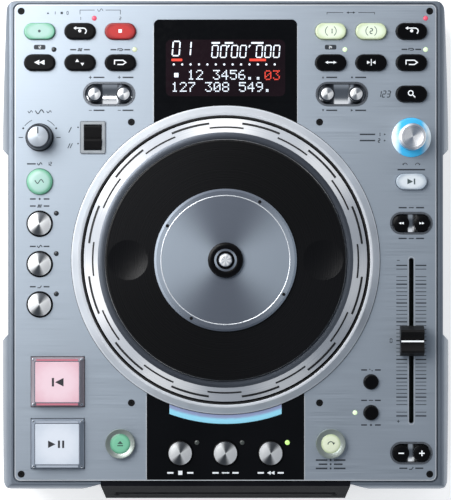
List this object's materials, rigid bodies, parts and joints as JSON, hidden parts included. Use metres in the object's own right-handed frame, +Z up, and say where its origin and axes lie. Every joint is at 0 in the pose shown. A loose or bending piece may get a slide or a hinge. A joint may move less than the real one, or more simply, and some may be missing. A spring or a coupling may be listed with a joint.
{
  "type": "tabletop disc player",
  "caption": "Tabletop slot-in disc player for a DJ: a turning platter with a scratch disc, display, lit cue and play buttons, effect keys, knobs and a pitch fader.",
  "frame": {"origin": "centre of the object's box at the height of the table", "axes": "+Z up, +Y towards the rear wall with the connectors, +X to the user's right"},
  "size_m": [0.249, 0.281, 0.1085],
  "materials": {
    "black_abs": "black moulded plastic with a soft sheen",
    "metal_key": "spun and polished metal",
    "lit_mint": "translucent plastic lit from behind",
    "lit_red": "translucent red plastic lit from behind",
    "lit_pale": "translucent pale plastic lit from behind",
    "lit_green": "translucent green plastic lit from behind",
    "lit_pink": "translucent pink plastic lit from behind",
    "pale_grey": "pale grey translucent plastic",
    "shell_silver": "silver paint with a soft sheen",
    "panel_aluminium": "brushed and anodised aluminium",
    "column_black": "polished black acrylic",
    "fascia_black": "black moulded plastic",
    "foot_rubber": "black rubber",
    "screw_black": "black oxide steel",
    "circuit_green": "green circuit board",
    "bare_steel": "zinc plated steel sheet",
    "platter_silver": "polished silver rim with printed strobe marks",
    "ring_silver": "satin silver",
    "disc_vinyl": "black vinyl with fine grooves",
    "hub_aluminium": "spun aluminium",
    "well_black": "polished black plastic",
    "light_blue": "clear plastic lit blue from behind",
    "base_steel": "black painted steel sheet"
  },
  "bodies": {
    "case": {"bottom_cover": "base_steel", "body_shell": "shell_silver", "top_panel": "panel_aluminium", "centre_panel": "column_black", "front_fascia": "fascia_black", "rubber_feet": "foot_rubber", "case_screws": "screw_black", "circuit_boards": "circuit_green", "motor_stator": "bare_steel", "platter_ring": "ring_silver", "loader_frame": "bare_steel", "rear_connectors": "base_steel", "key_wells": "well_black", "light_guides": "light_blue"},
    "platter": {"platter": "platter_silver"},
    "scratch_disc": {"scratch_disc": "disc_vinyl", "hub_plate": "hub_aluminium"},
    "pitch_fader": {"pitch_fader": "black_abs"},
    "effects_knob": {"effects_knob": "metal_key"},
    "parameter_knob": {"parameter_knob": "metal_key"},
    "effects_paddle": {"effects_paddle": "black_abs"},
    "cue_button": {"cue_button": "lit_pink"},
    "play_button": {"play_button": "pale_grey"},
    "power_button": {"power_button": "black_abs"},
    "pickup_sled": {"pickup_sled": "black_abs"},
    "disc_turntable": {"disc_turntable": "black_abs"},
    "feed_roller": {"feed_roller": "foot_rubber"},
    "sample_button": {"sample_button": "lit_mint"},
    "loop_a_button": {"loop_a_button": "black_abs"},
    "stop_button": {"stop_button": "lit_red"},
    "rev_button": {"rev_button": "black_abs"},
    "pitch_key_button": {"pitch_key_button": "black_abs"},
    "exit_left_button": {"exit_left_button": "black_abs"},
    "loop_1_button": {"loop_1_button": "lit_pale"},
    "loop_2_button": {"loop_2_button": "lit_pale"},
    "loop_b_button": {"loop_b_button": "black_abs"},
    "flip_button": {"flip_button": "black_abs"},
    "trim_button": {"trim_button": "black_abs"},
    "exit_right_button": {"exit_right_button": "black_abs"},
    "file_search_button": {"file_search_button": "black_abs"},
    "next_track_button": {"next_track_button": "pale_grey"},
    "time_key": {"time_key": "metal_key"},
    "preset_key": {"preset_key": "metal_key"},
    "title_key": {"title_key": "metal_key"},
    "single_key": {"single_key": "metal_key"},
    "search_back_key": {"search_back_key": "black_abs"},
    "search_forward_key": {"search_forward_key": "black_abs"},
    "bend_down_key": {"bend_down_key": "black_abs"},
    "bend_up_key": {"bend_up_key": "black_abs"},
    "tap_button": {"tap_button": "lit_mint"},
    "echo_button": {"echo_button": "metal_key"},
    "flanger_button": {"flanger_button": "metal_key"},
    "filter_button": {"filter_button": "metal_key"},
    "brake_button": {"brake_button": "metal_key"},
    "dump_button": {"dump_button": "metal_key"},
    "reverse_button": {"reverse_button": "metal_key"},
    "eject_button": {"eject_button": "lit_green"},
    "platter_mode_button": {"platter_mode_button": "lit_pale"},
    "key_adjust_button": {"key_adjust_button": "black_abs"},
    "pitch_range_button": {"pitch_range_button": "black_abs"}
  },
  "joints": [
    {"name": "platter_spin", "type": "hinge", "parent": "case", "child": "platter", "pos_m": [0, -0.0028, 0.084], "axis": [0, 0, 1], "continuous": true},
    {"name": "scratch_spin", "type": "hinge", "parent": "platter", "child": "scratch_disc", "pos_m": [0, -0.0028, 0.096], "axis": [0, 0, 1], "continuous": true},
    {"name": "pitch_fader_slide", "type": "slide", "parent": "case", "child": "pitch_fader", "axis": [0, 1, 0], "range_m": [-0.0414, 0.0414]},
    {"name": "effects_turn", "type": "hinge", "parent": "case", "child": "effects_knob", "pos_m": [-0.1027, 0.0649, 0.084], "axis": [0, 0, 1], "range_deg": [-135, 135]},
    {"name": "parameter_turn", "type": "hinge", "parent": "case", "child": "parameter_knob", "pos_m": [0.1027, 0.0649, 0.084], "axis": [0, 0, 1], "continuous": true},
    {"name": "paddle_tilt", "type": "hinge", "parent": "case", "child": "effects_paddle", "pos_m": [-0.0733, 0.0649, 0.0815], "axis": [1, 0, 0], "range_deg": [-7, 7]},
    {"name": "cue_press", "type": "slide", "parent": "case", "child": "cue_button", "axis": [0, 0, -1], "range_m": [0, 0.0022], "stiffness_N_per_m": 600, "springref_m": -0.001},
    {"name": "play_press", "type": "slide", "parent": "case", "child": "play_button", "axis": [0, 0, -1], "range_m": [0, 0.0022], "stiffness_N_per_m": 600, "springref_m": -0.001},
    {"name": "power_press", "type": "slide", "parent": "case", "child": "power_button", "axis": [0, -1, 0], "range_m": [0, 0.003], "stiffness_N_per_m": 600, "springref_m": -0.001},
    {"name": "sled_slide", "type": "slide", "parent": "case", "child": "pickup_sled", "axis": [0, 1, 0], "range_m": [0, 0.035]},
    {"name": "turntable_spin", "type": "hinge", "parent": "case", "child": "disc_turntable", "pos_m": [0, -0.062, 0.04325], "axis": [0, 0, 1], "continuous": true},
    {"name": "roller_spin", "type": "hinge", "parent": "case", "child": "feed_roller", "pos_m": [0, -0.112, 0.03905], "axis": [1, 0, 0], "continuous": true},
    {"name": "sample_press", "type": "slide", "parent": "case", "child": "sample_button", "axis": [0, 0, -1], "range_m": [0, 0.001], "stiffness_N_per_m": 400, "springref_m": -0.001},
    {"name": "loop_a_press", "type": "slide", "parent": "case", "child": "loop_a_button", "axis": [0, 0, -1], "range_m": [0, 0.001], "stiffness_N_per_m": 400, "springref_m": -0.001},
    {"name": "stop_press", "type": "slide", "parent": "case", "child": "stop_button", "axis": [0, 0, -1], "range_m": [0, 0.001], "stiffness_N_per_m": 400, "springref_m": -0.001},
    {"name": "rev_press", "type": "slide", "parent": "case", "child": "rev_button", "axis": [0, 0, -1], "range_m": [0, 0.001], "stiffness_N_per_m": 400, "springref_m": -0.001},
    {"name": "pitch_key_press", "type": "slide", "parent": "case", "child": "pitch_key_button", "axis": [0, 0, -1], "range_m": [0, 0.001], "stiffness_N_per_m": 400, "springref_m": -0.001},
    {"name": "exit_left_press", "type": "slide", "parent": "case", "child": "exit_left_button", "axis": [0, 0, -1], "range_m": [0, 0.001], "stiffness_N_per_m": 400, "springref_m": -0.001},
    {"name": "loop_1_press", "type": "slide", "parent": "case", "child": "loop_1_button", "axis": [0, 0, -1], "range_m": [0, 0.001], "stiffness_N_per_m": 400, "springref_m": -0.001},
    {"name": "loop_2_press", "type": "slide", "parent": "case", "child": "loop_2_button", "axis": [0, 0, -1], "range_m": [0, 0.001], "stiffness_N_per_m": 400, "springref_m": -0.001},
    {"name": "loop_b_press", "type": "slide", "parent": "case", "child": "loop_b_button", "axis": [0, 0, -1], "range_m": [0, 0.001], "stiffness_N_per_m": 400, "springref_m": -0.001},
    {"name": "flip_press", "type": "slide", "parent": "case", "child": "flip_button", "axis": [0, 0, -1], "range_m": [0, 0.001], "stiffness_N_per_m": 400, "springref_m": -0.001},
    {"name": "trim_press", "type": "slide", "parent": "case", "child": "trim_button", "axis": [0, 0, -1], "range_m": [0, 0.001], "stiffness_N_per_m": 400, "springref_m": -0.001},
    {"name": "exit_right_press", "type": "slide", "parent": "case", "child": "exit_right_button", "axis": [0, 0, -1], "range_m": [0, 0.001], "stiffness_N_per_m": 400, "springref_m": -0.001},
    {"name": "file_search_press", "type": "slide", "parent": "case", "child": "file_search_button", "axis": [0, 0, -1], "range_m": [0, 0.001], "stiffness_N_per_m": 400, "springref_m": -0.001},
    {"name": "next_track_press", "type": "slide", "parent": "case", "child": "next_track_button", "axis": [0, 0, -1], "range_m": [0, 0.001], "stiffness_N_per_m": 400, "springref_m": -0.001},
    {"name": "time_press", "type": "slide", "parent": "case", "child": "time_key", "axis": [0, 0, -1], "range_m": [0, 0.0008], "stiffness_N_per_m": 400, "springref_m": -0.001},
    {"name": "preset_press", "type": "slide", "parent": "case", "child": "preset_key", "axis": [0, 0, -1], "range_m": [0, 0.0008], "stiffness_N_per_m": 400, "springref_m": -0.001},
    {"name": "title_press", "type": "slide", "parent": "case", "child": "title_key", "axis": [0, 0, -1], "range_m": [0, 0.0008], "stiffness_N_per_m": 400, "springref_m": -0.001},
    {"name": "single_press", "type": "slide", "parent": "case", "child": "single_key", "axis": [0, 0, -1], "range_m": [0, 0.0008], "stiffness_N_per_m": 400, "springref_m": -0.001},
    {"name": "search_back_press", "type": "slide", "parent": "case", "child": "search_back_key", "axis": [0, 0, -1], "range_m": [0, 0.0008], "stiffness_N_per_m": 400, "springref_m": -0.001},
    {"name": "search_forward_press", "type": "slide", "parent": "case", "child": "search_forward_key", "axis": [0, 0, -1], "range_m": [0, 0.0008], "stiffness_N_per_m": 400, "springref_m": -0.001},
    {"name": "bend_down_press", "type": "slide", "parent": "case", "child": "bend_down_key", "axis": [0, 0, -1], "range_m": [0, 0.0008], "stiffness_N_per_m": 400, "springref_m": -0.001},
    {"name": "bend_up_press", "type": "slide", "parent": "case", "child": "bend_up_key", "axis": [0, 0, -1], "range_m": [0, 0.0008], "stiffness_N_per_m": 400, "springref_m": -0.001},
    {"name": "tap_press", "type": "slide", "parent": "case", "child": "tap_button", "axis": [0, 0, -1], "range_m": [0, 0.001], "stiffness_N_per_m": 400, "springref_m": -0.001},
    {"name": "echo_press", "type": "slide", "parent": "case", "child": "echo_button", "axis": [0, 0, -1], "range_m": [0, 0.001], "stiffness_N_per_m": 400, "springref_m": -0.001},
    {"name": "flanger_press", "type": "slide", "parent": "case", "child": "flanger_button", "axis": [0, 0, -1], "range_m": [0, 0.001], "stiffness_N_per_m": 400, "springref_m": -0.001},
    {"name": "filter_press", "type": "slide", "parent": "case", "child": "filter_button", "axis": [0, 0, -1], "range_m": [0, 0.001], "stiffness_N_per_m": 400, "springref_m": -0.001},
    {"name": "brake_press", "type": "slide", "parent": "case", "child": "brake_button", "axis": [0, 0, -1], "range_m": [0, 0.001], "stiffness_N_per_m": 400, "springref_m": -0.001},
    {"name": "dump_press", "type": "slide", "parent": "case", "child": "dump_button", "axis": [0, 0, -1], "range_m": [0, 0.001], "stiffness_N_per_m": 400, "springref_m": -0.001},
    {"name": "reverse_press", "type": "slide", "parent": "case", "child": "reverse_button", "axis": [0, 0, -1], "range_m": [0, 0.001], "stiffness_N_per_m": 400, "springref_m": -0.001},
    {"name": "eject_press", "type": "slide", "parent": "case", "child": "eject_button", "axis": [0, 0, -1], "range_m": [0, 0.001], "stiffness_N_per_m": 400, "springref_m": -0.001},
    {"name": "platter_mode_press", "type": "slide", "parent": "case", "child": "platter_mode_button", "axis": [0, 0, -1], "range_m": [0, 0.001], "stiffness_N_per_m": 400, "springref_m": -0.001},
    {"name": "key_adjust_press", "type": "slide", "parent": "case", "child": "key_adjust_button", "axis": [0, 0, -1], "range_m": [0, 0.001], "stiffness_N_per_m": 400, "springref_m": -0.001},
    {"name": "pitch_range_press", "type": "slide", "parent": "case", "child": "pitch_range_button", "axis": [0, 0, -1], "range_m": [0, 0.001], "stiffness_N_per_m": 400, "springref_m": -0.001}
  ]
}
